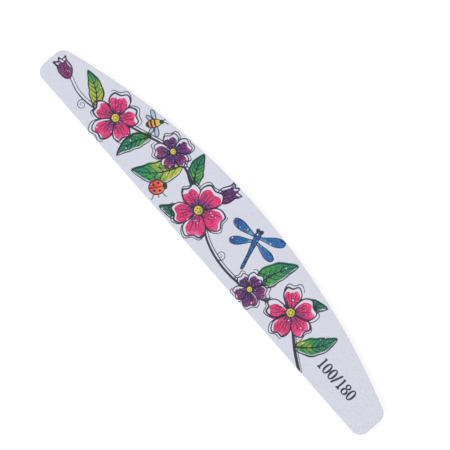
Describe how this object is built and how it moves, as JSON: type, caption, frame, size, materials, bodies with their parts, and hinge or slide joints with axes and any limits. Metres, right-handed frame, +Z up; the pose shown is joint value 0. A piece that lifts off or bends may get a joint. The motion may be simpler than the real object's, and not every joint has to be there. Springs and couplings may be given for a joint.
{
  "type": "emery board",
  "caption": "Half-moon emery board with a printed abrasive face on each side, foam cushions and a stiff plastic core, for shaping fingernails.",
  "frame": {"origin": "centre of the underside: midway between the two ends, and midway between the straight edge and the crown of the curved edge", "axes": "+X along the board towards the end with the grade numbers on its upper face, +Y towards the curved edge, +Z up out of the fine, 180 grade face"},
  "size_m": [0.178, 0.0278, 0.0041],
  "materials": {
    "fine_grit": "matte",
    "coarse_grit": "matte",
    "backing_paper": "matte",
    "adhesive": "satin",
    "foam": "matte",
    "core_plastic": "satin"
  },
  "bodies": {
    "root": {"lower_grit_coat": "coarse_grit", "lower_backing_paper": "backing_paper", "lower_sheet_adhesive": "adhesive", "lower_foam_cushion": "foam", "lower_core_adhesive": "adhesive", "plastic_core": "core_plastic", "upper_core_adhesive": "adhesive", "upper_foam_cushion": "foam", "upper_sheet_adhesive": "adhesive", "upper_backing_paper": "backing_paper", "upper_grit_coat": "fine_grit"}
  },
  "joints": []
}
